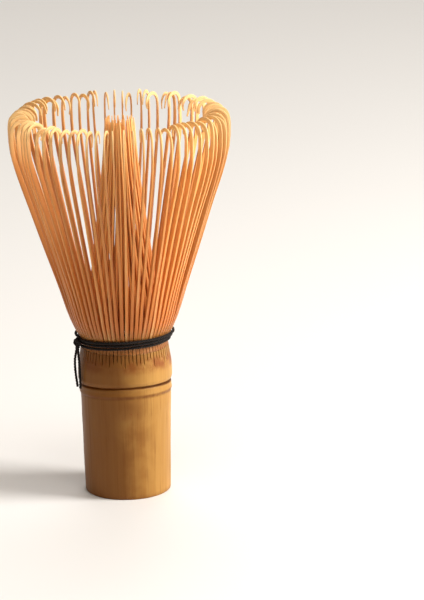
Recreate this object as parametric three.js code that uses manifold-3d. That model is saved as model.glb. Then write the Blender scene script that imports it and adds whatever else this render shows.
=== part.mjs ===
// Bamboo tea whisk. One culm is split above its joint into two rings of tines: an outer
// ring that flares and curls in at the tips, and an inner ring gathered into a bundle.
// Black thread is woven between the rings and bound round the roots.
// Millimetres, +Z up, origin at the middle of the foot.
import * as THREE from "three";
import { mergeVertices } from "three/addons/utils/BufferGeometryUtils.js";
import Module from "manifold-3d";

// ---- driving dimensions -------------------------------------------------------------

const SEGMENTS = 18;            // first splits of the culm wall
const TINES_PER_SEGMENT = 4;    // tines that each split carries in each ring
const GAP = 0.3;                // clearance between separate pieces

// Handle: the culm below the split, hollow on both sides of the wall inside its joint
const FOOT_R = 11.9;
const HANDLE_TOP_R = 12.55;
const FOOT_EDGE = 0.35;         // rounding of the cut edge
const SCAR_Z = 28.4;            // lower edge of the sheath scar
const SCAR_R = 12.7;
const GROOVE_Z = 30.9;
const GROOVE_R = 12.15;
const GROOVE_HALF = 0.35;
const BULGE_START_R = 12.8;     // just above the groove
const BULGE_Z = 34.0;
const BULGE_R = 13.0;
const NECK_MID_Z = 38.0;
const NECK_MID_R = 12.6;
const NECK_TOP_Z = 41.7;
const NECK_TOP_R = 12.05;
const BORE_R = 8.8;
const BORE_CORNER = 1.0;        // chamfer where the bore meets the wall
const WALL_UNDER_Z = 30.2;      // under face of the wall inside the joint
const WALL_OVER_Z = 33.0;
const CUP_R = 8.7;              // hollow above that wall
const HANDLE_FACETS = 36;

// Roots of the tines, as radius and height
const ROOT_Z = NECK_TOP_Z + GAP;
const ROOT_TOP_Z = 46.0;
const OUTER_ROOT_FOOT_R = 11.95;
const WAIST_Z = 43.4;
const WAIST_R = 11.7;           // outside of the outer roots where the thread pulls them in
const OUTER_ROOT_TOP_R = 13.25;
const OUTER_ROOT_WALL = 1.15;
const OUTER_ROOT_HALF = 1.68;   // half the width of an outer root
const INNER_ROOT_R = 10.0;      // outside of the inner roots
const INNER_ROOT_WALL = 1.0;
const INNER_ROOT_HALF = 1.4;

// Outer tines: a straight flare, an upright shoulder and a curl, on the middle line
const TINE_START = { r: 12.35, z: 45.2 };
const FLARE_LOW = { r: 13.95, z: 48.3 };
const FLARE_HIGH = { r: 28.1, z: 93.0 };
const SHOULDER = { r: 29.75, z: 98.3 };
const CURL_START = { r: 29.5, z: 105.0 };
const CURL_R = 2.7;
const CURL_TURN = THREE.MathUtils.degToRad(215);
const CURL_LEAN = THREE.MathUtils.degToRad(4);
const OUTER_THICK = { root: 1.0, tip: 0.3 };
const SHOULDER_STEPS = 2;
const CURL_STEPS = 4;
// Width of an outer tine at its start, the two ends of the flare, along the shoulder and the curl
const OUTER_WIDTHS = [0.78, 0.82, 1.1, 1.08, 1.0, 0.94, 0.88, 0.82, 0.78];

// Inner tines: one curve in to the middle. Every other one ends in a second, tighter layer.
const INNER_START = { r: 9.6, z: 45.2 };
const INNER_BEND = { r: 9.6, z: 64.0 };
const INNER_GATHER = { r: 5.2, z: 80.0 };
const INNER_END = { r: 4.3, z: 105.4 };
const CORE_GATHER = { r: 3.4, z: 82.0 };
const CORE_END = { r: 2.7, z: 104.2 };
const INNER_WIDTHS = [0.54, 0.51, 0.48, 0.45, 0.42];
const CORE_WIDTHS = [0.54, 0.47, 0.4, 0.32, 0.25];
const INNER_THICK = { root: 0.62, tip: 0.3 };
const INNER_STEPS = INNER_WIDTHS.length - 1;

// Thread
const THREAD_R = 0.4;
const TINE_PROUD = 0.1;         // how far the tines stand proud of a root's flat face
const BIND_TURNS = 3;
const BIND_LOW_Z = 43.5;
const BIND_PITCH = 0.98;
const BIND_STEPS_PER_TURN = 22;
const THREAD_SIDES = 6;
const WEAVE_Z = 47.3;
const WEAVE_R = 11.25;
const WEAVE_STEPS = 36;
const KNOT_AZIMUTH = THREE.MathUtils.degToRad(200);
const KNOT_SIZE = { across: 1.1, out: 0.75, tall: 1.15 };
const KNOT_Z = 44.75;
const KNOT_R = 14.95;
const KNOT_SEGMENTS = { around: 10, up: 8 };
const TAIL_SPREAD = 0.95;       // sideways distance of each tail from the knot's middle
const TAIL_END_Z = 31.3;
const TAIL_LENGTH = KNOT_Z - KNOT_SIZE.tall - GAP - TAIL_END_Z;
const TAIL_STEPS = 12;
// Each tail's line: part of the spread, distance inside the knot's radius, part of the length down
const TAIL_LINE = [
  { spread: 0.5, inside: 0.4, down: 0.0 },
  { spread: 1.0, inside: 0.5, down: 0.2 },
  { spread: 1.1, inside: 0.3, down: 0.5 },
  { spread: 1.0, inside: 0.5, down: 1.0 },
];

// ---- helpers ------------------------------------------------------------------------

const WELD = 1e-4;              // vertices nearer than this are one

const wasm = await Module();
wasm.setup();

/** Turns a closed geometry into a solid that can be joined. */
function toSolid(geometry) {
  const bare = geometry.clone();
  bare.deleteAttribute("normal");
  bare.deleteAttribute("uv");
  const merged = mergeVertices(bare, WELD);
  return new wasm.Manifold(new wasm.Mesh({
    numProp: 3,
    vertProperties: new Float32Array(merged.attributes.position.array),
    triVerts: new Uint32Array(merged.index.array),
  }));
}

/** Joins closed geometries into one body. */
function join(geometries) {
  const whole = geometries.map(toSolid).reduce((sum, next) => sum.add(next));
  const mesh = whole.getMesh();
  const geometry = new THREE.BufferGeometry();
  geometry.setAttribute("position", new THREE.BufferAttribute(mesh.vertProperties, 3));
  geometry.setIndex(new THREE.BufferAttribute(mesh.triVerts, 1));
  geometry.computeVertexNormals();
  return geometry;
}

/** The size a part t of the way from root to tip. */
function blendSize(size, t) {
  return THREE.MathUtils.lerp(size.root, size.tip, t);
}

/** The stations of a line in the plane of radius and height, each with its direction. */
function stationsAlong(pieces) {
  const stations = [];
  pieces.forEach(({ curve, steps }, index) => {
    for (let k = index === 0 ? 0 : 1; k <= steps; k += 1) {
      stations.push({ at: curve.getPoint(k / steps), along: curve.getTangent(k / steps) });
    }
  });
  return stations;
}

/** A tapered strip of wood that follows the stations, seen edge on in that plane. */
function strip(stations, widths, thickness) {
  const steps = stations.length - 1;
  const geometry = new THREE.BoxGeometry(1, 1, 1, 1, 1, steps);
  const position = geometry.attributes.position;
  for (let i = 0; i < position.count; i += 1) {
    const t = position.getZ(i) + 0.5;
    const station = Math.round(t * steps);
    const { at, along } = stations[station];
    const out = position.getY(i) * blendSize(thickness, t);
    position.setXYZ(
      i,
      at.x - along.y * out,
      position.getX(i) * widths[station],
      at.y + along.x * out,
    );
  }
  return geometry;
}

/** A root: an outline in radius and height, given a width across. */
function rootBlock(outline, half) {
  const shape = new THREE.Shape(outline.map(([r, z]) => new THREE.Vector2(r, z)));
  const block = new THREE.ExtrudeGeometry(shape, { depth: 2 * half, bevelEnabled: false });
  block.translate(0, 0, -half);
  block.rotateX(Math.PI / 2);
  return block;
}

/** A place given as radius and height, as a vector of the plane. */
function vector({ r, z }) {
  return new THREE.Vector2(r, z);
}

/** Angles of one segment's tines about its middle. */
function tineAngles() {
  const pitch = (2 * Math.PI) / (SEGMENTS * TINES_PER_SEGMENT);
  return Array.from({ length: TINES_PER_SEGMENT }, (_, k) => (k - (TINES_PER_SEGMENT - 1) / 2) * pitch);
}

/** A thread of round section along a path. */
function thread(path, steps) {
  const section = new THREE.Shape();
  section.absarc(0, 0, THREAD_R, 0, 2 * Math.PI);
  return new THREE.ExtrudeGeometry(section, {
    extrudePath: path, steps, curveSegments: THREAD_SIDES, bevelEnabled: false,
  });
}

// ---- pieces -------------------------------------------------------------------------

/** The culm below the split: a turned outline round the axis. */
function handleGeometry() {
  const profile = [
    [0, WALL_UNDER_Z],
    [BORE_R - BORE_CORNER, WALL_UNDER_Z],
    [BORE_R, WALL_UNDER_Z - BORE_CORNER],
    [BORE_R, 0],
    [FOOT_R - FOOT_EDGE, 0],
    [FOOT_R, FOOT_EDGE],
    [HANDLE_TOP_R, SCAR_Z - GROOVE_HALF],
    [SCAR_R, SCAR_Z],
    [SCAR_R, GROOVE_Z - GROOVE_HALF],
    [GROOVE_R, GROOVE_Z],
    [BULGE_START_R, GROOVE_Z + GROOVE_HALF],
    [BULGE_R, BULGE_Z],
    [NECK_MID_R, NECK_MID_Z],
    [NECK_TOP_R, NECK_TOP_Z],
    [CUP_R, NECK_TOP_Z],
    [CUP_R, WALL_OVER_Z],
    [0, WALL_OVER_Z],
  ];
  const points = profile.map(([r, z]) => new THREE.Vector2(r, z));
  const geometry = new THREE.LatheGeometry(points, HANDLE_FACETS);
  geometry.rotateX(Math.PI / 2);
  return geometry;
}

/** One split of the outer ring: its root and four curled tines. */
function outerSegmentGeometry() {
  const root = rootBlock([
    [WAIST_R - OUTER_ROOT_WALL, ROOT_Z],
    [OUTER_ROOT_FOOT_R, ROOT_Z],
    [WAIST_R, WAIST_Z],
    [OUTER_ROOT_TOP_R, ROOT_TOP_Z],
    [OUTER_ROOT_TOP_R - OUTER_ROOT_WALL, ROOT_TOP_Z],
    [WAIST_R - OUTER_ROOT_WALL, WAIST_Z],
  ], OUTER_ROOT_HALF);
  const curlCentre = {
    r: CURL_START.r - CURL_R * Math.cos(CURL_LEAN),
    z: CURL_START.z - CURL_R * Math.sin(CURL_LEAN),
  };
  const shoulder = new THREE.QuadraticBezierCurve(vector(FLARE_HIGH), vector(SHOULDER), vector(CURL_START));
  const curl = new THREE.EllipseCurve(curlCentre.r, curlCentre.z, CURL_R, CURL_R, CURL_LEAN, CURL_TURN);
  const line = stationsAlong([
    { curve: new THREE.LineCurve(vector(TINE_START), vector(FLARE_LOW)), steps: 1 },
    { curve: new THREE.LineCurve(vector(FLARE_LOW), vector(FLARE_HIGH)), steps: 1 },
    { curve: shoulder, steps: SHOULDER_STEPS },
    { curve: curl, steps: CURL_STEPS },
  ]);
  const tines = tineAngles().map((angle) => strip(line, OUTER_WIDTHS, OUTER_THICK).rotateZ(angle));
  return join([root, ...tines]);
}

/** One split of the inner ring: its root and four tines that lean in to the bundle. */
function innerSegmentGeometry() {
  const low = INNER_ROOT_R - INNER_ROOT_WALL;
  const root = rootBlock([
    [low, ROOT_Z],
    [INNER_ROOT_R, ROOT_Z],
    [INNER_ROOT_R, ROOT_TOP_Z],
    [low, ROOT_TOP_Z],
  ], INNER_ROOT_HALF);
  const tines = tineAngles().map((angle, k) => {
    const core = k % 2 === 0;
    const gather = core ? CORE_GATHER : INNER_GATHER;
    const end = core ? CORE_END : INNER_END;
    const curve = new THREE.CubicBezierCurve(
      vector(INNER_START), vector(INNER_BEND), vector(gather), vector(end),
    );
    const stations = stationsAlong([{ curve, steps: INNER_STEPS }]);
    return strip(stations, core ? CORE_WIDTHS : INNER_WIDTHS, INNER_THICK).rotateZ(angle);
  });
  return join([root, ...tines]);
}

/** The line of the binding thread: it climbs the flare of the roots as it goes round. */
class BindingPath extends THREE.Curve {
  getPoint(t, target = new THREE.Vector3()) {
    const z = BIND_LOW_Z + BIND_PITCH * BIND_TURNS * t;
    const rise = (z - WAIST_Z) / (ROOT_TOP_Z - WAIST_Z);
    const face = THREE.MathUtils.lerp(WAIST_R, OUTER_ROOT_TOP_R, rise);
    const r = face + TINE_PROUD + GAP + THREAD_R;
    const angle = KNOT_AZIMUTH + 2 * Math.PI * BIND_TURNS * t;
    return target.set(r * Math.cos(angle), r * Math.sin(angle), z);
  }
}

/** A place beside the knot: sideways along the binding, outward and up. */
function besideKnot(side, r, z) {
  return new THREE.Vector3(
    r * Math.cos(KNOT_AZIMUTH) - side * Math.sin(KNOT_AZIMUTH),
    r * Math.sin(KNOT_AZIMUTH) + side * Math.cos(KNOT_AZIMUTH),
    z,
  );
}

/** The line of one tail, on one side of the knot or the other. */
function tailPath(side) {
  const top = TAIL_END_Z + TAIL_LENGTH;
  return new THREE.CatmullRomCurve3(TAIL_LINE.map(({ spread, inside, down }) => (
    besideKnot(side * spread * TAIL_SPREAD, KNOT_R - inside, top - down * TAIL_LENGTH)
  )));
}

// ---- assembly -----------------------------------------------------------------------

/** A finish of its own for a mesh. */
function finish(color, roughness) {
  return new THREE.MeshStandardMaterial({ color, roughness, metalness: 0 });
}

const bamboo = () => finish(0xd9a05b, 0.5);
const paleBamboo = () => finish(0xe0a468, 0.6);
const heartBamboo = () => finish(0xc4713a, 0.65);
const blackThread = () => finish(0x14100e, 0.85);

const whisk = new THREE.Group();

/** Adds a named mesh to the whisk. */
function place(name, geometry, material) {
  const mesh = new THREE.Mesh(geometry, material);
  mesh.name = name;
  whisk.add(mesh);
  return mesh;
}

place("handle", handleGeometry(), bamboo());

const outerSegment = outerSegmentGeometry();
const innerSegment = innerSegmentGeometry();
for (let i = 0; i < SEGMENTS; i += 1) {
  const label = String(i + 1).padStart(2, "0");
  const turn = (2 * Math.PI * i) / SEGMENTS;
  place(`outer_tines_${label}`, outerSegment, paleBamboo()).rotation.z = turn;
  place(`inner_tines_${label}`, innerSegment, heartBamboo()).rotation.z = turn;
}

const weave = new THREE.TorusGeometry(WEAVE_R, THREAD_R, THREAD_SIDES, WEAVE_STEPS);
place("weaving_thread", weave, blackThread()).position.z = WEAVE_Z;
place("binding_thread", thread(new BindingPath(), BIND_TURNS * BIND_STEPS_PER_TURN), blackThread());

const knotBall = new THREE.SphereGeometry(1, KNOT_SEGMENTS.around, KNOT_SEGMENTS.up);
const knot = place("thread_knot", knotBall, blackThread());
knot.scale.set(KNOT_SIZE.out, KNOT_SIZE.across, KNOT_SIZE.tall);
knot.rotation.z = KNOT_AZIMUTH;
knot.position.copy(besideKnot(0, KNOT_R, KNOT_Z));

place("thread_tail_left", thread(tailPath(-1), TAIL_STEPS), blackThread());
place("thread_tail_right", thread(tailPath(1), TAIL_STEPS), blackThread());

export default whisk;
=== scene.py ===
"""A bamboo tea whisk: the visual model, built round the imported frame.

The culm is turned from an outline, every tine is a straight strip that is bent along its own
line, and the thread is a plied strand wound round the roots.
"""

import logging
import math
import random
from contextlib import contextmanager
from dataclasses import dataclass, field
from enum import Enum
from typing import Callable, Iterator, Sequence

import bmesh
import bpy
from mathutils import Matrix, Vector


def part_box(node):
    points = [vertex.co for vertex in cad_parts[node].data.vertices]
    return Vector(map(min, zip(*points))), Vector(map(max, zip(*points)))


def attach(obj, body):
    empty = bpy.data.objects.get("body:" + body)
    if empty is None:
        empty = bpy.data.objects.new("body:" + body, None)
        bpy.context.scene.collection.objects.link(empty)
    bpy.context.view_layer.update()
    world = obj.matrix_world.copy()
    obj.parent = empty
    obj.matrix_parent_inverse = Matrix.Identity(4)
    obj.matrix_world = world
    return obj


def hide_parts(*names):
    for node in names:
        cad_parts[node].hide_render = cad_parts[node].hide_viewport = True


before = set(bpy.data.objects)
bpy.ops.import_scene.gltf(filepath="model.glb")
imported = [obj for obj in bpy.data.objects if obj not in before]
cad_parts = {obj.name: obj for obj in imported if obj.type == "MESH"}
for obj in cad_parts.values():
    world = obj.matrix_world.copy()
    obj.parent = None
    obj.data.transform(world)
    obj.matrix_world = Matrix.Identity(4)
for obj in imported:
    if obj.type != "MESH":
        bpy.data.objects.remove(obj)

LOG = logging.getLogger("tea_whisk")
LOG.setLevel(logging.INFO)
MM = 0.001
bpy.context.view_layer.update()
SEGMENTS = 18
TINES_PER_SEGMENT = 4
TINES = SEGMENTS * TINES_PER_SEGMENT
FULL_TURN = 2.0 * math.pi
PITCH = FULL_TURN / TINES
Triple = tuple[float, float, float]
Colour = Triple
Station = tuple[float, float]


# ---- small helpers --------------------------------------------------------------------


def smooth_step(low: float, high: float, value: float) -> float:
    """Rises from 0 at low to 1 at high along a smooth curve."""
    t = min(max((value - low) / (high - low), 0.0), 1.0)
    return t * t * (3.0 - 2.0 * t)


def bell(value: float, centre: float, width: float) -> float:
    """A bell curve of height 1 about centre."""
    return math.exp(-(((value - centre) / width) ** 2))


def mix(a: float, b: float, t: float) -> float:
    """The value a part t of the way from a to b."""
    return a + (b - a) * t


def from_axis(place: Vector) -> float:
    """How far a place is from the whisk's upright axis."""
    return math.hypot(place.x, place.y)


def round_the_culm(radius: float, azimuth: float, height: float) -> Vector:
    """A place by its distance from the axis, azimuth and height, from millimetres to metres."""
    return Vector((radius * math.cos(azimuth), radius * math.sin(azimuth), height)) * MM


def middle_of(node: str) -> Vector:
    """The middle of a frame node's box, in metres."""
    return Vector([(a + b) / 2.0 for a, b in zip(*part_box(node))])


class Bench:
    """The workbench: what a modeller does by hand between two operators."""

    @staticmethod
    def clear() -> None:
        """Leaves edit mode and deselects everything."""
        if bpy.context.mode != "OBJECT":
            bpy.ops.object.mode_set(mode="OBJECT")
        for other in list(bpy.context.selected_objects):
            other.select_set(False)

    @staticmethod
    def only(piece: bpy.types.Object) -> None:
        """Selects one piece alone and makes it active.

        Args:
            piece: the object to work on.
        """
        Bench.clear()
        piece.select_set(True)
        bpy.context.view_layer.objects.active = piece

    @staticmethod
    @contextmanager
    def editing(piece: bpy.types.Object, mode: str = "VERT") -> Iterator[bpy.types.Mesh]:
        """Edit mode on one piece, with nothing selected.

        Args:
            piece: the mesh object to edit.
            mode: VERT, EDGE or FACE.

        Yields:
            The piece's mesh.
        """
        Bench.only(piece)
        bpy.ops.object.mode_set(mode="EDIT")
        bpy.ops.mesh.select_mode(type=mode)
        bpy.ops.mesh.select_all(action="DESELECT")
        yield piece.data
        bpy.ops.object.mode_set(mode="OBJECT")

    @staticmethod
    def pick(mesh: bpy.types.Mesh, kind: str, test: Callable[[object], bool]) -> int:
        """Selects the vertices, edges or faces that pass a test, and nothing else.

        Args:
            mesh: the mesh in edit mode.
            kind: verts, edges or faces.
            test: says whether an element is wanted.

        Returns:
            How many were selected.
        """
        bpy.ops.mesh.select_all(action="DESELECT")
        shape = bmesh.from_edit_mesh(mesh)
        wanted = [element for element in getattr(shape, kind) if test(element)]
        for element in wanted:
            element.select_set(True)
        bmesh.update_edit_mesh(mesh)
        return len(wanted)

    @staticmethod
    def apply(piece: bpy.types.Object) -> None:
        """Applies every modifier of a piece, in order.

        Args:
            piece: the piece to finish.
        """
        Bench.only(piece)
        for modifier in list(piece.modifiers):
            bpy.ops.object.modifier_apply(modifier=modifier.name)

    @staticmethod
    def settle(piece: bpy.types.Object) -> bpy.types.Object:
        """Puts a piece's place into its mesh, so that the object sits at the origin.

        Args:
            piece: the piece to settle.

        Returns:
            The same piece.
        """
        Bench.only(piece)
        bpy.ops.object.transform_apply(location=True, rotation=True, scale=True)
        return piece

    @staticmethod
    def trace(name: str, outline: Sequence[Station]) -> bpy.types.Object:
        """Draws an outline in the plane of X and Z, as a chain of edges.

        Args:
            name: the name of the piece that it starts.
            outline: radius and height of each point, in millimetres.

        Returns:
            The piece, which is the bare outline so far.
        """
        places = [Vector((radius * MM, 0.0, height * MM)) for radius, height in outline]
        Bench.clear()
        bpy.ops.mesh.primitive_plane_add(size=MM, location=(0.0, 0.0, 0.0))
        piece = bpy.context.object
        piece.name = name
        with Bench.editing(piece):
            bpy.ops.mesh.select_all(action="SELECT")
            bpy.ops.mesh.merge(type="CENTER")
            bpy.ops.transform.translate(value=places[0])
            for here, there in zip(places, places[1:]):
                bpy.ops.mesh.extrude_vertices_move(TRANSFORM_OT_translate={"value": there - here})
        return piece

    @staticmethod
    def copy(piece: bpy.types.Object, name: str) -> bpy.types.Object:
        """A copy of a piece with a mesh of its own.

        Args:
            piece: the piece to copy.
            name: the copy's name.

        Returns:
            The copy.
        """
        twin = piece.copy()
        twin.data = piece.data.copy()
        twin.name = name
        bpy.context.collection.objects.link(twin)
        return twin

    @staticmethod
    def join(pieces: Sequence[bpy.types.Object], name: str) -> bpy.types.Object:
        """Joins pieces into the first of them.

        Args:
            pieces: the meshes to join.
            name: the name of the result.

        Returns:
            The joined piece.
        """
        Bench.clear()
        for piece in pieces:
            piece.select_set(True)
        bpy.context.view_layer.objects.active = pieces[0]
        bpy.ops.object.join()
        joined = bpy.context.view_layer.objects.active
        joined.name = name
        return joined

    @staticmethod
    def discard(*pieces: bpy.types.Object) -> None:
        """Removes helper objects."""
        for piece in pieces:
            bpy.data.objects.remove(piece, do_unlink=True)

    @staticmethod
    def close_up(piece: bpy.types.Object, distance: float = 1e-6) -> None:
        """Merges doubles and turns all faces outward.

        Args:
            piece: the piece to close.
            distance: how near two vertices must be to be one.
        """
        with Bench.editing(piece):
            bpy.ops.mesh.select_all(action="SELECT")
            bpy.ops.mesh.remove_doubles(threshold=distance)
            bpy.ops.mesh.normals_make_consistent(inside=False)

    @staticmethod
    def dress(piece: bpy.types.Object, *finishes: bpy.types.Material) -> None:
        """Gives a piece these finishes and no others."""
        piece.data.materials.clear()
        for finish in finishes:
            piece.data.materials.append(finish)

    @staticmethod
    def smooth(piece: bpy.types.Object, angle: float) -> None:
        """Smooth shading, with edges sharper than an angle in degrees kept crisp."""
        Bench.only(piece)
        bpy.ops.object.shade_smooth_by_angle(angle=math.radians(angle))


class Path:
    """A line in space that a straight piece is bent along."""

    def __init__(self, name: str, points: Sequence[Vector], smooth: bool = True) -> None:
        """Makes the line.

        Args:
            name: the name of the curve.
            points: the places that it passes through.
            smooth: whether it curves between them.
        """
        data = bpy.data.curves.new(name, "CURVE")
        data.dimensions = "3D"
        data.twist_mode = "MINIMUM"
        data.resolution_u = 8
        spline = data.splines.new("BEZIER" if smooth else "POLY")
        if smooth:
            spline.bezier_points.add(len(points) - 1)
            for knot, place in zip(spline.bezier_points, points):
                knot.co = place
                knot.handle_left_type = "AUTO"
                knot.handle_right_type = "AUTO"
        else:
            spline.points.add(len(points) - 1)
            for knot, place in zip(spline.points, points):
                knot.co = (*place, 1.0)
        self.curve = bpy.data.objects.new(name, data)
        bpy.context.collection.objects.link(self.curve)

    def bend(self, piece: bpy.types.Object) -> None:
        """Bends a piece that lies along X, and discards the line.

        Args:
            piece: the straight piece.
        """
        modifier = piece.modifiers.new("Bend", "CURVE")
        modifier.object = self.curve
        modifier.deform_axis = "POS_X"
        Bench.apply(piece)
        Bench.discard(self.curve)


# ---- finishes -------------------------------------------------------------------------


class Graph:
    """A material's node tree, built node by node."""

    def __init__(self, name: str) -> None:
        """Starts a material with a Principled shader.

        Args:
            name: the material's name.
        """
        self.material = bpy.data.materials.new(name)
        self.material.use_nodes = True
        self.tree = self.material.node_tree
        self.shader = self.tree.nodes["Principled BSDF"]
        self.place = self.add("ShaderNodeTexCoord").outputs["Object"]

    def add(self, kind: str, **settings: object) -> bpy.types.Node:
        """Adds a node and sets its properties.

        Args:
            kind: the node's type.
            settings: its properties by name.

        Returns:
            The node.
        """
        node = self.tree.nodes.new(kind)
        for key, value in settings.items():
            setattr(node, key, value)
        return node

    def feed(self, socket: bpy.types.NodeSocket, value: object) -> None:
        """Links a socket, or sets it to a plain value.

        Args:
            socket: the input to feed.
            value: another node's output, or a plain value.
        """
        if isinstance(value, bpy.types.NodeSocket):
            self.tree.links.new(value, socket)
        else:
            socket.default_value = value

    def math(self, operation: str, a: object, b: object = 0.0) -> bpy.types.NodeSocket:
        """One arithmetic step.

        Args:
            operation: the Math node's operation.
            a: first value.
            b: second value.

        Returns:
            The result's socket.
        """
        node = self.add("ShaderNodeMath", operation=operation)
        for socket, value in zip(node.inputs, (a, b)):
            self.feed(socket, value)
        return node.outputs[0]

    def plus(self, a: object, b: object) -> bpy.types.NodeSocket:
        """The sum of two values."""
        return self.math("ADD", a, b)

    def times(self, a: object, b: object) -> bpy.types.NodeSocket:
        """The product of two values."""
        return self.math("MULTIPLY", a, b)

    def axis(self, vector: bpy.types.NodeSocket, name: str) -> bpy.types.NodeSocket:
        """One coordinate of a vector.

        Args:
            vector: the vector.
            name: X, Y or Z.

        Returns:
            The coordinate's socket.
        """
        node = self.add("ShaderNodeSeparateXYZ")
        self.feed(node.inputs[0], vector)
        return node.outputs[name]

    def stretched(self, vector: bpy.types.NodeSocket, scale: Triple) -> bpy.types.NodeSocket:
        """A vector scaled along each axis.

        Args:
            vector: the vector.
            scale: the scale along X, Y and Z.

        Returns:
            The scaled vector's socket.
        """
        node = self.add("ShaderNodeMapping")
        self.feed(node.inputs["Vector"], vector)
        node.inputs["Scale"].default_value = scale
        return node.outputs[0]

    def noise(self, vector: bpy.types.NodeSocket, scale: float, detail: float = 3.0,
              rough: float = 0.5) -> bpy.types.NodeSocket:
        """A noise from 0 to 1.

        Args:
            vector: where it is read.
            scale: its fineness.
            detail: how many octaves.
            rough: how strong the fine ones are.

        Returns:
            The noise's socket.
        """
        node = self.add("ShaderNodeTexNoise")
        self.feed(node.inputs["Vector"], vector)
        node.inputs["Scale"].default_value = scale
        node.inputs["Detail"].default_value = detail
        node.inputs["Roughness"].default_value = rough
        return node.outputs[0]

    def streaks(self, vector: bpy.types.NodeSocket, fineness: Triple, detail: float = 3.0,
                rough: float = 0.5) -> bpy.types.NodeSocket:
        """A noise from 0 to 1 with its own fineness along each axis."""
        return self.noise(self.stretched(vector, fineness), 1.0, detail, rough)

    def span(self, value: object, low: float, high: float, to_low: float = 0.0,
             to_high: float = 1.0) -> bpy.types.NodeSocket:
        """Maps a range smoothly onto another.

        Args:
            value: what is mapped.
            low: start of its range.
            high: end of its range.
            to_low: the result at the start.
            to_high: the result at the end.

        Returns:
            The result's socket.
        """
        node = self.add("ShaderNodeMapRange", interpolation_type="SMOOTHSTEP")
        for socket, part in zip(node.inputs, (value, low, high, to_low, to_high)):
            self.feed(socket, part)
        return node.outputs[0]

    def band(self, value: object, centre: float, half: float, soft: float) -> bpy.types.NodeSocket:
        """1 within half of centre, falling to 0 over soft."""
        away = self.math("ABSOLUTE", self.math("SUBTRACT", value, centre))
        return self.span(away, half, half + soft, 1.0, 0.0)

    def tint(self, under: object, over: object, amount: object) -> bpy.types.NodeSocket:
        """Lays one colour over another.

        Args:
            under: the colour below.
            over: the colour on top.
            amount: how much of it shows.

        Returns:
            The mixed colour's socket.
        """
        node = self.add("ShaderNodeMix", data_type="RGBA")
        self.feed(node.inputs[0], amount)
        for socket, colour in ((node.inputs[6], under), (node.inputs[7], over)):
            self.feed(socket, colour if isinstance(colour, bpy.types.NodeSocket) else (*colour, 1.0))
        return node.outputs[2]

    def ramp(self, value: object, stops: Sequence[tuple[float, Colour]]) -> bpy.types.NodeSocket:
        """A colour ramp.

        Args:
            value: where it is read.
            stops: positions and colours, in order.

        Returns:
            The colour's socket.
        """
        node = self.add("ShaderNodeValToRGB")
        elements = node.color_ramp.elements
        while len(elements) < len(stops):
            elements.new(0.5)
        for element, (position, colour) in zip(elements, stops):
            element.position = position
            element.color = (*colour, 1.0)
        self.feed(node.inputs[0], value)
        return node.outputs[0]

    def relief(self, height: object, depth: float) -> None:
        """Gives the shader a bump.

        Args:
            height: the bump's height, from 0 to 1.
            depth: how much that is, in metres.
        """
        node = self.add("ShaderNodeBump")
        node.inputs["Distance"].default_value = depth
        node.inputs["Strength"].default_value = 1.0
        self.feed(node.inputs["Height"], height)
        self.tree.links.new(node.outputs[0], self.shader.inputs["Normal"])

    def finish(self, colour: object, roughness: object, **plain: float) -> bpy.types.Material:
        """Feeds the shader.

        Args:
            colour: base colour.
            roughness: roughness.
            plain: other sockets by name, with _ for a space.

        Returns:
            The material.
        """
        self.feed(self.shader.inputs["Base Color"], colour)
        self.feed(self.shader.inputs["Roughness"], roughness)
        for key, value in plain.items():
            self.shader.inputs[key.replace("_", " ")].default_value = value
        return self.material


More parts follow.
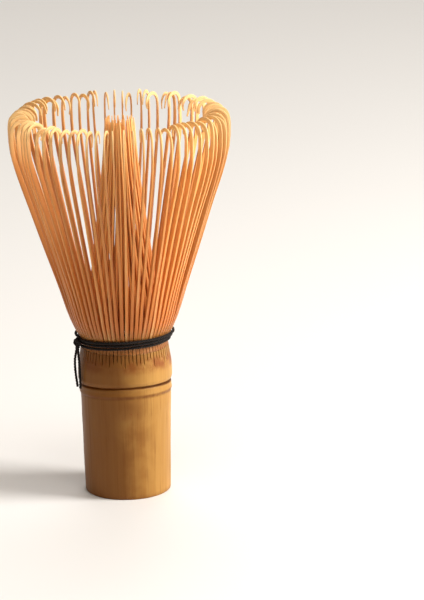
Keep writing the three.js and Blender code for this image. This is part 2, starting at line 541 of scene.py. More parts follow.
@dataclass(frozen=True)
class CulmSkinFinish:
    """The polished outside of the culm: honey yellow, stained at the joint, with painted shade on its -X
    side.

    Heights and widths are in metres. The painted shadow under the scar ring, the ring and the swell are from
    the groove up.
    """

    pale: Colour = (0.585, 0.315, 0.078)
    honey: Colour = (0.465, 0.215, 0.043)
    brown: Colour = (0.165, 0.048, 0.004)
    stain: Colour = (0.25, 0.055, 0.009)
    groove: Colour = (0.085, 0.026, 0.007)
    groove_z: float = 0.0313
    groove_half: float = 0.00014
    groove_wander: float = 0.00018
    # painted shadow under the scar ring's step, below the groove
    painted_ring_shadow: float = -0.0026
    ring: float = -0.0012
    swell: float = 0.0022
    stained_from: tuple[float, float] = (0.0345, 0.0372)
    stained_to: tuple[float, float] = (0.0412, 0.0380)
    neck: tuple[float, float] = (0.0375, 0.0415)
    foot: float = 0.0016
    slope: tuple[float, float] = (0.018, -0.072)
    # painted shade on the -X side, away from the key light: where it starts and ends, and how much it browns
    painted_shade_side: tuple[float, float] = (0.006, -0.007)
    painted_shade_part: float = 0.84
    fine_fibres: Triple = (1700.0, 1700.0, 34.0)
    broad_fibres: Triple = (330.0, 330.0, 9.0)
    mottling: Triple = (300.0, 300.0, 190.0)
    weathering: Triple = (62.0, 62.0, 16.0)
    wandering: Triple = (120.0, 120.0, 0.0)
    cloud_scale: float = 95.0
    speck_scale: float = 900.0
    bump: float = 0.00007

    def build(self) -> bpy.types.Material:
        """Makes the material.

        Returns:
            The culm's skin.
        """
        g = Graph("Culm skin")
        upright = g.axis(g.place, "Z")
        aslant = g.plus(g.times(g.axis(g.place, "X"), self.slope[0]),
                        g.times(g.axis(g.place, "Y"), self.slope[1]))
        height = g.math("SUBTRACT", upright, aslant)
        fibres = g.streaks(g.place, self.fine_fibres, 4.0, 0.62)
        streaks = g.streaks(g.place, self.broad_fibres, 3.0, 0.55)
        mottled = g.streaks(g.place, self.mottling, 4.0, 0.62)
        weathered = g.streaks(g.place, self.weathering, 2.0)
        wander = g.streaks(g.place, self.wandering, 2.0)
        clouds = g.noise(g.place, self.cloud_scale, 3.0, 0.6)
        specks = g.noise(g.place, self.speck_scale, 1.0)
        colour = g.ramp(streaks, [(0.30, self.honey), (0.52, self.pale), (0.72, self.honey)])
        colour = g.tint(colour, self.brown, g.span(fibres, 0.52, 0.72, 0.0, 0.42))
        colour = g.tint(colour, self.pale, g.span(clouds, 0.50, 0.68, 0.0, 0.45))
        above = g.times(g.span(height, *self.stained_from), g.span(height, *self.stained_to))
        colour = g.tint(colour, self.stain, g.times(above, g.span(mottled, 0.36, 0.60, 0.12, 0.85)))
        # Painted shadow: a mottled brown line just under the scar ring, where its step shades the culm.
        below = g.band(height, self.groove_z + self.painted_ring_shadow, 0.0001, 0.0008)
        colour = g.tint(colour, self.brown, g.times(below, g.span(mottled, 0.3, 0.6, 0.35, 0.85)))
        ring = g.band(height, self.groove_z + self.ring, 0.0006, 0.0005)
        colour = g.tint(colour, self.pale, g.times(ring, 0.35))
        swell = g.band(height, self.groove_z + self.swell, 0.0008, 0.0016)
        colour = g.tint(colour, self.pale, g.times(swell, 0.45))
        line = g.plus(height, g.span(wander, 0.3, 0.7, -self.groove_wander, self.groove_wander))
        groove = g.band(line, self.groove_z, self.groove_half, 0.00045)
        colour = g.tint(colour, self.groove, g.times(groove, g.span(streaks, 0.2, 0.6, 0.8, 1.0)))
        colour = g.tint(colour, self.brown, g.span(height, *self.neck, 0.0, 0.42))
        colour = g.tint(colour, self.brown, g.span(weathered, 0.46, 0.64, 0.0, 0.30))
        # Painted shade: the -X side of the culm, away from the key light, is browned, with a cloudy edge.
        away_from_key_light = g.plus(g.axis(g.place, "X"), g.times(g.axis(g.place, "Y"), 0.35))
        painted_shade_reach = g.plus(away_from_key_light, g.span(clouds, 0.3, 0.7, -0.002, 0.002))
        colour = g.tint(colour, self.brown, g.span(painted_shade_reach, *self.painted_shade_side, 0.0, self.painted_shade_part))
        colour = g.tint(colour, self.brown, g.span(upright, self.foot, 0.0, 0.0, 0.35))
        colour = g.tint(colour, self.stain, g.span(specks, 0.74, 0.80, 0.0, 0.55))
        g.relief(g.plus(g.times(fibres, 0.6), g.times(mottled, 0.4)), self.bump)
        rough = g.span(fibres, 0.3, 0.75, 0.38, 0.55)
        return g.finish(colour, rough, Coat_Weight=0.03, Coat_Roughness=0.3, Specular_IOR_Level=0.18)


@dataclass(frozen=True)
class CutBambooFinish:
    """A sawn or scraped face of the culm wall: pale wood with the ends of its fibres showing."""

    pith: Colour = (0.80, 0.60, 0.33)
    wood: Colour = (0.66, 0.42, 0.18)
    fibre: Colour = (0.30, 0.14, 0.05)
    cell_scale: float = 1500.0
    cell_stretch: Triple = (1.0, 1.0, 0.06)
    streak_fineness: Triple = (700.0, 700.0, 60.0)
    wall: tuple[float, float] = (0.0088, 0.0119)
    bump: float = 0.00006

    def build(self) -> bpy.types.Material:
        """Makes the material.

        Returns:
            The cut wood.
        """
        g = Graph("Cut bamboo")
        across = g.stretched(g.place, self.cell_stretch)
        cells = g.add("ShaderNodeTexVoronoi", feature="F1")
        g.feed(cells.inputs["Vector"], across)
        cells.inputs["Scale"].default_value = self.cell_scale
        dots = g.span(cells.outputs["Distance"], 0.20, 0.34, 1.0, 0.0)
        squares = [g.math("POWER", g.axis(g.place, name), 2.0) for name in "XY"]
        outward = g.span(g.math("SQRT", g.plus(*squares)), *self.wall)
        colour = g.ramp(outward, [(0.0, self.pith), (0.75, self.wood), (1.0, self.fibre)])
        colour = g.tint(colour, self.fibre, g.times(dots, g.span(outward, 0.0, 1.0, 0.3, 0.75)))
        streaks = g.streaks(g.place, self.streak_fineness)
        colour = g.tint(colour, self.wood, g.span(streaks, 0.4, 0.7, 0.0, 0.5))
        g.relief(g.math("SUBTRACT", streaks, dots), self.bump)
        return g.finish(colour, 0.72)


@dataclass(frozen=True)
class TineFinish:
    """Split bamboo, from the stained root to the pale shaved tip, with painted shade on each tine's inward
    face.

    Places along the tine are parts of its length, from the root.
    """

    name: str
    root: Colour
    foot: Colour
    low: Colour
    middle: Colour
    tip: Colour
    root_to: float = 0.025
    foot_at: float = 0.085
    low_at: float = 0.25
    middle_part: float = 0.22
    tip_from: float = 0.74
    tip_part: float = 0.13
    # side: how much painted shade darkens each tine's inward face; shade is the colour of the dark fibres, of
    # darker tines and of that painted shade
    side: float = 0.42
    shade: Colour = (0.34, 0.085, 0.016)
    shift: float = 37.0
    fineness: Triple = (2.2, 3.0, 3.0)
    slow_fineness: Triple = (1.6, 0.4, 0.4)
    bump: float = 0.00005

    def build(self) -> bpy.types.Material:
        """Makes the material. It reads the strip's own grain and tint, so it bends with the tine.

        Returns:
            The tine wood.
        """
        g = Graph(self.name)
        grain = g.add("ShaderNodeAttribute", attribute_name="grain").outputs["Vector"]
        tint = g.add("ShaderNodeAttribute", attribute_name="tint").outputs["Fac"]
        along = g.axis(grain, "X")
        offset = g.add("ShaderNodeCombineXYZ")
        g.feed(offset.inputs[0], g.times(tint, self.shift))
        shifted = g.add("ShaderNodeVectorMath", operation="ADD")
        g.feed(shifted.inputs[0], g.stretched(grain, self.fineness))
        g.feed(shifted.inputs[1], offset.outputs[0])
        fibres = g.noise(shifted.outputs[0], 1.0, 4.0, 0.6)
        slow = g.streaks(shifted.outputs[0], self.slow_fineness, 2.0)
        colour = g.ramp(along, [(self.root_to, self.root), (self.foot_at, self.foot), (self.low_at, self.low),
                                (self.tip_from - self.middle_part, self.middle),
                                (self.tip_from, self.middle), (self.tip_from + self.tip_part, self.tip)])
        colour = g.tint(colour, self.shade, g.span(fibres, 0.52, 0.74, 0.0, 0.32))
        colour = g.tint(colour, self.tip, g.span(slow, 0.55, 0.75, 0.0, 0.35))
        dark = g.times(g.span(tint, 0.0, 1.0, 0.0, 0.36), g.span(along, 0.95, 0.6))
        colour = g.tint(colour, self.shade, dark)
        # Painted shade: the inward half of each tine is darkened, except near the tip, as the shade in the
        # gaps between tines.
        inside = g.times(g.span(g.axis(grain, "Y"), -0.12, 0.10), g.span(along, 0.9, 0.7))
        colour = g.tint(colour, self.shade, g.times(inside, self.side))
        g.relief(fibres, self.bump)
        return g.finish(colour, g.span(fibres, 0.3, 0.7, 0.38, 0.55), Subsurface_Weight=0.06,
                        Subsurface_Scale=0.001, Specular_IOR_Level=0.35)


@dataclass(frozen=True)
class ThreadFinish:
    """Black dyed cotton: dull, with a faint brown where its fibres catch the light."""

    dye: Colour = (0.008, 0.005, 0.004)
    worn: Colour = (0.036, 0.022, 0.014)
    fineness: Triple = (5200.0, 5200.0, 2600.0)
    wear_scale: float = 700.0
    bump: float = 0.00008

    def build(self) -> bpy.types.Material:
        """Makes the material.

        Returns:
            The thread.
        """
        g = Graph("Black thread")
        fibres = g.streaks(g.place, self.fineness, 3.0, 0.65)
        wear = g.span(g.noise(g.place, self.wear_scale, 2.0), 0.35, 0.7, 0.25, 1.0)
        colour = g.tint(self.dye, self.worn, g.times(g.span(fibres, 0.45, 0.75), wear))
        g.relief(fibres, self.bump)
        return g.finish(colour, 0.72, Sheen_Weight=0.04, Sheen_Roughness=0.5, Specular_IOR_Level=0.25)


@dataclass(frozen=True)
class PaleFloorFinish:
    """The plain pale floor."""

    colour: Colour = (0.88, 0.875, 0.865)
    drift: float = 0.97

    def build(self) -> bpy.types.Material:
        """Makes the material.

        Returns:
            The floor's finish.
        """
        g = Graph("Pale floor")
        darker = tuple(part * self.drift for part in self.colour)
        return g.finish(g.tint(self.colour, darker, g.noise(g.place, 3.0, 2.0)), 0.9)


class Finishes:
    """Every finish of the whisk, made once."""

    def __init__(self) -> None:
        """Builds the materials."""
        self.skin = CulmSkinFinish().build()
        self.cut = CutBambooFinish().build()
        self.outer = TineFinish(
            "Outer tine", root=(0.35, 0.155, 0.030), foot=(0.66, 0.205, 0.036), low=(0.84, 0.31, 0.066),
            middle=(0.95, 0.45, 0.130), tip=(0.96, 0.64, 0.28)).build()
        self.inner = TineFinish(
            "Inner tine", root=(0.34, 0.10, 0.020), foot=(0.60, 0.18, 0.035), low=(0.88, 0.34, 0.080),
            middle=(0.96, 0.47, 0.145), tip=(0.97, 0.55, 0.20), tip_from=0.80,
            shade=(0.55, 0.165, 0.03)).build()
        self.thread = ThreadFinish().build()


# ---- the culm -------------------------------------------------------------------------


@dataclass
class Culm:
    """The handle: a turned length of bamboo with its joint, hollow at the foot and in the neck.

    Sizes are in millimetres, and the lean is in degrees about X and Y.
    """

    foot_radius: float = 11.9
    top_radius: float = 12.55
    foot_edge: float = 0.35
    scar_z: float = 28.8
    scar_step: float = 0.15
    groove_z: float = 31.3
    groove_depth: float = 0.5
    bulge: float = 0.34
    neck_low_z: float = 34.6
    neck_top_radius: float = 12.08
    bore_radius: float = 8.8
    wall_under_z: float = 30.2
    wall_over_z: float = 33.0
    cup_radius: float = 8.7
    slit_low_z: float = 38.7
    slit_depth: float = 0.62
    slit_run: float = 1.6
    slit_grades: int = 4
    slit_seed: int = 5
    steps: int = TINES * 8
    lean: tuple[float, float] = (4.1, 1.05)
    lean_reach: float = 7.0
    skin_from: float = 11.3
    growth: float = 0.22
    growth_scale: float = 14.0
    top_z: float = field(default_factory=lambda: float(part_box("handle")[1][2]) / MM)

    def outside(self, z: float) -> float:
        """The outside radius at a height.

        Args:
            z: height in millimetres.

        Returns:
            The radius in millimetres.
        """
        radius = mix(self.foot_radius, self.top_radius, min(z / self.scar_z, 1.0))
        radius += self.scar_step * smooth_step(self.scar_z - 0.35, self.scar_z + 0.15, z)
        radius += 0.10 * bell(z, self.scar_z + 0.45, 0.5)
        radius += self.bulge * smooth_step(self.groove_z, self.groove_z + 1.5, z)
        radius -= self.groove_depth * bell(z, self.groove_z, 0.26)
        full = self.top_radius + self.scar_step + self.bulge
        narrowing = smooth_step(self.neck_low_z, self.top_z + 1.5, z)
        return radius - (full - self.neck_top_radius) * narrowing

    def outline(self) -> list[Station]:
        """The turned outline, from the axis under the inner wall round to the axis above it.

        Returns:
            Radius and height of each point, in millimetres.
        """
        points = [(0.0, self.wall_under_z + 0.1), (self.bore_radius * 0.6, self.wall_under_z),
                  (self.bore_radius - 0.9, self.wall_under_z - 0.15),
                  (self.bore_radius - 0.2, self.wall_under_z - 0.8),
                  (self.bore_radius, self.wall_under_z - 2.0)]
        points += [(self.bore_radius, z) for z in (22.0, 15.0, 8.0, 2.0)]
        points += [(self.bore_radius + 0.03, 0.2), (self.bore_radius + 0.2, 0.0),
                   (self.foot_radius - 1.2, 0.0), (self.foot_radius - self.foot_edge, 0.0)]
        for turn in (30.0, 60.0, 90.0):
            reach = math.radians(turn)
            points.append((self.foot_radius - self.foot_edge * (1.0 - math.sin(reach)),
                           self.foot_edge * (1.0 - math.cos(reach))))
        z = 1.2
        while z < self.top_z - 0.25:
            points.append((self.outside(z), z))
            fine = self.scar_z - 1.0 < z < self.groove_z + 2.0
            z += 0.14 if fine else (0.35 if z > self.groove_z else 0.9)
        points += [(self.outside(self.top_z), self.top_z - 0.03),
                   (self.outside(self.top_z) - 0.04, self.top_z),
                   (self.cup_radius + 0.15, self.top_z), (self.cup_radius, self.top_z - 0.15)]
        points += [(self.cup_radius, z) for z in (39.0, 36.0, self.wall_over_z + 1.4)]
        points += [(self.cup_radius - 0.4, self.wall_over_z + 0.4),
                   (self.cup_radius - 1.5, self.wall_over_z), (0.0, self.wall_over_z)]
        return points

    def turn(self, name: str) -> bpy.types.Object:
        """Turns the outline round the axis.

        Args:
            name: the culm's name.

        Returns:
            The closed culm.
        """
        piece = Bench.trace(name, self.outline())
        with Bench.editing(piece):
            bpy.ops.mesh.select_all(action="SELECT")
            bpy.ops.mesh.spin(steps=self.steps, angle=FULL_TURN, center=(0.0, 0.0, 0.0),
                              axis=(0.0, 0.0, 1.0), use_auto_merge=True)
        Bench.close_up(piece)
        return piece

    def cut_slits(self, piece: bpy.types.Object) -> None:
        """Presses the ends of the splits into the neck, as narrow grooves that run out downward.

        Args:
            piece: the turned culm.
        """
        luck = random.Random(self.slit_seed)
        lows = [self.slit_low_z + luck.uniform(-0.5, 0.9)
                - (1.0 if slot % TINES_PER_SEGMENT == TINES_PER_SEGMENT // 2 else 0.0)
                for slot in range(TINES)]
        levels = sorted({round(z, 4) for r, z in self.outline()
                         if z > min(lows) and r > self.cup_radius + 0.5})
        grades = self.slit_grades
        with Bench.editing(piece) as mesh:
            for z in levels:
                depths = [round(grades * smooth_step(low, low + self.slit_run, z)) for low in lows]
                for grade in range(1, grades + 1):

                    def in_slit(vertex: object, level: float = z, wanted: int = grade) -> bool:
                        """Whether a vertex lies in a slit of one grade at one level.

                        Args:
                            vertex: the vertex.
                            level: the level's height in millimetres.
                            wanted: the grade, from 1 to the deepest.

                        Returns:
                            True if it does.
                        """
                        if abs(vertex.co.z - level * MM) > 2e-6:
                            return False
                        if from_axis(vertex.co) < (self.cup_radius + 1.0) * MM:
                            return False
                        slot = math.atan2(vertex.co.y, vertex.co.x) / PITCH
                        return abs(slot - round(slot)) < 0.03 and depths[round(slot) % TINES] == wanted

                    if Bench.pick(mesh, "verts", in_slit):
                        scale = 1.0 - self.slit_depth * grade / grades / self.outside(z)
                        bpy.ops.transform.resize(value=(scale, scale, 1.0),
                                                 center_override=(0.0, 0.0, z * MM))

    def lean_joint(self, piece: bpy.types.Object) -> None:
        """Sets the scar and the groove a little aslant, as a joint grows.

        Args:
            piece: the turned culm.
        """
        low, high = (self.scar_z - 0.6) * MM, (self.groove_z + 1.2) * MM
        wall = (self.bore_radius + 1.0) * MM
        with Bench.editing(piece) as mesh:
            Bench.pick(mesh, "verts", lambda v: low < v.co.z < high and from_axis(v.co) > wall)
            for axis, lean in zip("XY", self.lean):
                bpy.ops.transform.rotate(value=math.radians(lean), orient_axis=axis,
                                         center_override=(0.0, 0.0, self.groove_z * MM),
                                         use_proportional_edit=True, use_proportional_connected=True,
                                         proportional_edit_falloff="SMOOTH",
                                         proportional_size=self.lean_reach * MM)

    def weather(self, piece: bpy.types.Object) -> None:
        """Takes the culm a little out of true, as grown bamboo is.

        Args:
            piece: the culm.
        """
        clouds = bpy.data.textures.new("Growth", "CLOUDS")
        clouds.noise_scale = self.growth_scale * MM
        swell = piece.modifiers.new("Growth", "DISPLACE")
        swell.texture = clouds
        swell.texture_coords = "LOCAL"
        swell.direction = "NORMAL"
        swell.strength = self.growth * MM
        swell.mid_level = 0.5
        group = piece.vertex_groups.new(name="Skin")
        wanted = [v.index for v in piece.data.vertices
                  if 2.0 * MM < v.co.z < 38.0 * MM and from_axis(v.co) > self.skin_from * MM]
        group.add(wanted, 1.0, "REPLACE")
        swell.vertex_group = "Skin"
        Bench.apply(piece)
        piece.vertex_groups.clear()

    def build(self, finishes: Finishes) -> bpy.types.Object:
        """Makes and dresses the culm.

        Args:
            finishes: the materials.

        Returns:
            The culm.
        """
        piece = self.turn("culm_handle")
        self.cut_slits(piece)
        self.lean_joint(piece)
        self.weather(piece)
        Bench.dress(piece, finishes.skin, finishes.cut)

        def is_cut(face: object) -> bool:
            """Whether a face lies in the hollows, on the sawn foot or on the sawn top.

            Args:
                face: the face.

            Returns:
                True if it does.
            """
            centre = face.calc_center_median()
            sawn_top = centre.z > (self.top_z - 0.12) * MM and face.normal.z > 0.7
            return centre.xy.length < (self.foot_radius - 0.9) * MM or centre.z < 0.02 * MM or sawn_top

        with Bench.editing(piece, "FACE") as mesh:
            Bench.pick(mesh, "faces", is_cut)
            piece.active_material_index = 1
            bpy.ops.object.material_slot_assign()
        Bench.smooth(piece, 45.0)
        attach(piece, "handle")
        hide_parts("handle")
        return piece


# ---- the tines ------------------------------------------------------------------------


class Ring(Enum):
    """Which of the two rings a tine stands in."""

    OUTER = "outer"
    INNER = "inner"


@dataclass
class Strip:
    """A straight, tapered strip of split bamboo with broken edges, lying along X.

    Sizes are in millimetres. Each width stands beside its place, as a part of the length.
    """

    name: str
    length: float
    widths: tuple[Station, ...]
    thick_root: float
    thick_tip: float
    steps: int = 20
    curl_steps: int = 22
    curl_part: float = 0.20
    edge: float = 0.10
    point: float = 0.6
    nose_from: float = 0.955
    nose_thinner: float = 0.35

    def stations(self) -> list[float]:
        """Where the strip's cross-sections stand: close together where it curls.

        Returns:
            Their places, as parts of the strip's length.
        """
        straight = 1.0 - self.curl_part
        return ([straight * k / self.steps for k in range(self.steps)]
                + [straight + self.curl_part * k / self.curl_steps for k in range(self.curl_steps + 1)])

    def size(self, t: float) -> tuple[float, float]:
        """The strip's size at one place.

        Args:
            t: the place, as a part of the length.

        Returns:
            Thickness and width there, in millimetres.
        """
        thick = mix(self.thick_root, self.thick_tip, t ** 0.8)
        wide = self.widths[-1][1]
        for (start, here), (end, there) in zip(self.widths, self.widths[1:]):
            if start <= t <= end:
                wide = mix(here, there, (t - start) / (end - start))
        nose = smooth_step(self.nose_from, 1.0, t)
        return thick * (1.0 - self.nose_thinner * nose), wide * (1.0 - (1.0 - self.point) * nose)

    def model(self) -> bpy.types.Object:
        """Draws the strip out of a small block, face by face.

        Returns:
            The straight strip, with its grain stored on it.
        """
        stations = self.stations()
        thick, wide = self.size(0.0)
        first = stations[1] * self.length
        Bench.clear()
        bpy.ops.mesh.primitive_cube_add(size=MM, location=(first * MM / 2.0, 0.0, 0.0))
        piece = bpy.context.object
        piece.name = self.name
        piece.scale = (first, thick, wide)
        Bench.settle(piece)
        with Bench.editing(piece, "FACE") as mesh:
            Bench.pick(mesh, "faces", lambda f: f.normal.x > 0.9)
            for here, there in zip(stations[1:], stations[2:]):
                step = (there - here) * self.length * MM
                new_thick, new_wide = self.size(there)
                bpy.ops.mesh.extrude_region_move(TRANSFORM_OT_translate={"value": (step, 0.0, 0.0)})
                bpy.ops.transform.resize(value=(1.0, new_thick / thick, new_wide / wide),
                                         center_override=(there * self.length * MM, 0.0, 0.0))
                thick, wide = new_thick, new_wide
        self.break_edges(piece)
        self.store_grain(piece)
        return piece

    def break_edges(self, piece: bpy.types.Object) -> None:
        """Takes the sharp edges off the strip, as a maker shaves them.

        Args:
            piece: the square strip.
        """
        with Bench.editing(piece, "EDGE") as mesh:
            end = self.length * MM - 1e-7

            def long_edge(edge: object) -> bool:
                """Whether an edge runs along the strip or rounds its tip."""
                first, second = (v.co for v in edge.verts)
                return abs(first.x - second.x) > 1e-7 or min(first.x, second.x) > end

            Bench.pick(mesh, "edges", long_edge)
            bpy.ops.mesh.bevel(offset=self.edge * min(self.thick_tip * 2.2, 1.0) * MM, segments=2,
                               affect="EDGES", clamp_overlap=True)

    def store_grain(self, piece: bpy.types.Object) -> None:
        """Stores the straight strip's own coordinates: along as a part of its length, across in mm.

        Args:
            piece: the straight strip.
        """
        grain = piece.data.attributes.new("grain", "FLOAT_VECTOR", "POINT")
        for vertex, store in zip(piece.data.vertices, grain.data):
            place = vertex.co / MM
            store.vector = (place.x / self.length, place.y, place.z)


@dataclass(frozen=True)
class OuterCourse:
    """How an outer tine runs: its root, the flare, the shoulder and the curl at the rim.

    Places are distances from the axis and heights, in millimetres. Angles are in degrees.
    """

    root_half: float = 2.10
    start: tuple[Station, ...] = ((11.98, 44.5), (12.4, 45.3), (13.9, 48.3))
    flare_end: Station = (28.1, 93.0)
    shoulder: tuple[Station, Station] = ((29.15, 97.2), (29.5, 101.2))
    rim: Station = (29.45, 107.35)
    curl_radius: float = 2.7
    curl_turn: float = 205.0
    curl_points: int = 7
    lean_spread: float = 0.28
    rise_spread: float = 0.42
    sway_spread: float = 0.20
    bow_spread: float = 0.22
    radius_spread: float = 0.22
    turn_spread: float = 16.0
    skew_spread: float = 0.24

    def root_outline(self, low: float) -> list[Station]:
        """The outline of the root.

        Args:
            low: the height of its lower end, in millimetres.

        Returns:
            Radius and height of each point, in millimetres.
        """
        return [(10.62, low + 0.16), (11.6, low + 0.03), (12.05, low), (11.86, low + 0.8), (11.74, 43.4),
                (12.35, 44.7), (13.0, 45.8), (12.8, 46.25), (12.2, 46.1), (11.4, 44.6), (10.75, 43.2)]

    def line(self, luck: random.Random) -> list[Vector]:
        """The line of one tine, in the plane of X and Z, with a little luck in it.

        Args:
            luck: the random numbers.

        Returns:
            The points of the line, in metres.
        """
        lean = luck.gauss(0.0, self.lean_spread)
        rise = luck.gauss(0.0, self.rise_spread)
        sway = luck.gauss(0.0, self.sway_spread)
        bow = luck.gauss(0.0, self.bow_spread)
        points = [(radius, 0.0, height) for radius, height in self.start]
        (low_r, low_z), (high_r, high_z) = self.start[-1], self.flare_end
        for t in (0.25, 0.5, 0.75, 1.0):
            points.append((mix(low_r, high_r, t) + lean * t + bow * math.sin(math.pi * t) * 0.7,
                           sway * t * t * 1.2 + 0.6 * bow * math.sin(math.pi * t),
                           mix(low_z, high_z, t)))
        for (reach, height), aside, higher in zip(self.shoulder, (1.5, 1.8), (0.3, 0.6)):
            points.append((reach + lean, sway * aside, height + rise * higher))
        radius = self.curl_radius + luck.gauss(0.0, self.radius_spread)
        centre_r = self.rim[0] + lean - radius
        centre_z = self.rim[1] - radius + min(rise, 0.25)
        turn_end = self.curl_turn + luck.gauss(0.0, self.turn_spread)
        skew = luck.gauss(0.0, self.skew_spread)
        for k in range(self.curl_points):
            turn = math.radians(mix(0.0, turn_end, k / (self.curl_points - 1.0)))
            points.append((centre_r + radius * math.cos(turn),
                           sway * 2.0 + skew * (1.0 - math.cos(turn)),
                           centre_z + radius * math.sin(turn)))
        return [Vector(point) * MM for point in points]


@dataclass(frozen=True)
class InnerCourse:
    """How an inner tine runs: its root, and the curve in to where it ends in the bundle.

    Places are distances from the axis and heights, in millimetres.
    """

    gather: float
    end: Station
    root_half: float = 2.0
    start: tuple[Station, Station] = ((9.55, 43.6), (9.6, 64.0))
    gather_z: float = 80.0
    points: int = 9
    sway_spread: float = 0.45
    drift_spread: float = 0.35
    rise_spread: float = 0.8
    most_rise: float = 0.9

    def root_outline(self, low: float) -> list[Station]:
        """The outline of the root.

        Args:
            low: the height of the lower end of an outer root, in millimetres.

        Returns:
            Radius and height of each point, in millimetres.
        """
        return [(9.05, low + 0.9), (10.0, low + 0.9), (10.0, 44.0), (9.95, 46.0), (9.7, 46.4),
                (9.25, 46.2), (9.05, 44.0)]

    def line(self, luck: random.Random) -> list[Vector]:
        """The line of one tine, in the plane of X and Z, with a little luck in it.

        Args:
            luck: the random numbers.

        Returns:
            The points of the line, in metres.
        """
        sway = luck.gauss(0.0, self.sway_spread)
        drift = luck.gauss(0.0, self.drift_spread)
        rise = luck.gauss(0.0, self.rise_spread)
        knots = [*self.start, (self.gather, self.gather_z), self.end]
        points = []
        for k in range(self.points):
            t = k / (self.points - 1.0)
            share = ((1 - t) ** 3, 3 * t * (1 - t) ** 2, 3 * t * t * (1 - t), t ** 3)
            radius = sum(part * knot[0] for part, knot in zip(share, knots))
            height = sum(part * knot[1] for part, knot in zip(share, knots))
            points.append((radius + drift * t * t,
                           sway * t * t * (1.0 - 0.4 * t) + 0.18 * sway * math.sin(6.0 * t),
                           height + min(rise, self.most_rise) * t))
        return [Vector(point) * MM for point in points]


Course = OuterCourse | InnerCourse


@dataclass
class TineRing:
    """One ring of tines. Each split of the culm has a strip and a course for each of its tines."""

    ring: Ring
    tines: tuple[tuple[Strip, Course], ...]
    seed: int
    stagger: float = 0.0
    seam: float = 0.06
    turn_spread: float = 0.24
    grain_length: float = 66.0
    grain_radius: float = 12.0
    root_tint: float = 0.4

    def bend_one(self, master: bpy.types.Object, course: Course, name: str, angle: float,
                 luck: random.Random) -> bpy.types.Object:
        """Bends a copy of the strip along its own line and turns it to its place.

        Args:
            master: the straight strip.
            course: how the tine runs.
            name: the tine's name.
            angle: its azimuth, in radians.
            luck: the random numbers.

        Returns:
            The tine.
        """
        tine = Bench.copy(master, name)
        Path(f"{name}_line", course.line(luck)).bend(tine)
        tint = tine.data.attributes.new("tint", "FLOAT", "POINT")
        shade = luck.random()
        for store in tint.data:
            store.value = shade
        tine.rotation_euler.z = angle + math.radians(luck.gauss(0.0, self.turn_spread))
        return Bench.settle(tine)

    def root(self, course: Course, name: str, middle: float) -> bpy.types.Object:
        """The foot of a tine: a sliver of the culm wall between two splits.

        Args:
            course: how the tine runs.
            name: the root's name.
            middle: the azimuth of its middle, in radians.

        Returns:
            The root.
        """
        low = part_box("handle")[1][2] / MM + self.seam
        piece = Bench.trace(name, course.root_outline(low))
        with Bench.editing(piece):
            bpy.ops.mesh.select_all(action="SELECT")
            bpy.ops.mesh.edge_face_add()
            bpy.ops.mesh.spin(steps=2, angle=math.radians(2.0 * course.root_half),
                              center=(0.0, 0.0, 0.0), axis=(0.0, 0.0, 1.0))
        Bench.close_up(piece, 1e-7)
        azimuths = [math.atan2(v.co.y, v.co.x) for v in piece.data.vertices]
        piece.rotation_euler.z = middle - (max(azimuths) + min(azimuths)) / 2.0
        Bench.settle(piece)
        piece.data.attributes.new("grain", "FLOAT_VECTOR", "POINT")
        piece.data.attributes.new("tint", "FLOAT", "POINT")
        grain, tint = (piece.data.attributes[key] for key in ("grain", "tint"))
        for vertex, here, shade in zip(piece.data.vertices, grain.data, tint.data):
            around = math.atan2(vertex.co.y, vertex.co.x) * self.grain_radius
            here.vector = ((vertex.co.z / MM - low) / self.grain_length, vertex.co.xy.length / MM, around)
            shade.value = self.root_tint
        return piece

    def split(self, index: int, masters: dict[str, bpy.types.Object],
              luck: random.Random) -> bpy.types.Object:
        """One split of the culm with its tines.

        Args:
            index: the split's number, from 0.
            masters: the straight strips by name.
            luck: the random numbers.

        Returns:
            The split.
        """
        middle = FULL_TURN * index / SEGMENTS
        name = f"{self.ring.value}_tines_{index + 1:02d}"
        parts = []
        for k, (strip, course) in enumerate(self.tines):
            angle = middle + (k - (TINES_PER_SEGMENT - 1) / 2.0 + self.stagger) * PITCH
            parts.append(self.root(course, f"{name}_root_{k}", angle))
            parts.append(self.bend_one(masters[strip.name], course, f"{name}_{k}", angle, luck))
        return Bench.join(parts, f"{name}_split")

    def build(self, finish: bpy.types.Material) -> list[bpy.types.Object]:
        """Makes and dresses the ring.

        Args:
            finish: the tines' material.

        Returns:
            One piece for each split.
        """
        luck = random.Random(self.seed)
        masters: dict[str, bpy.types.Object] = {}
        for strip, _ in self.tines:
            if strip.name not in masters:
                masters[strip.name] = strip.model()
        pieces = []
        for index in range(SEGMENTS):
            piece = self.split(index, masters, luck)
            Bench.dress(piece, finish)
            Bench.smooth(piece, 35.0)
            node = f"{self.ring.value}_tines_{index + 1:02d}"
            body = node if self.ring is Ring.OUTER else f"inner_bundle_{index // 2 + 1}"
            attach(piece, body)
            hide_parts(node)
            pieces.append(piece)
        Bench.discard(*masters.values())
        return pieces


# ---- the thread -----------------------------------------------------------------------


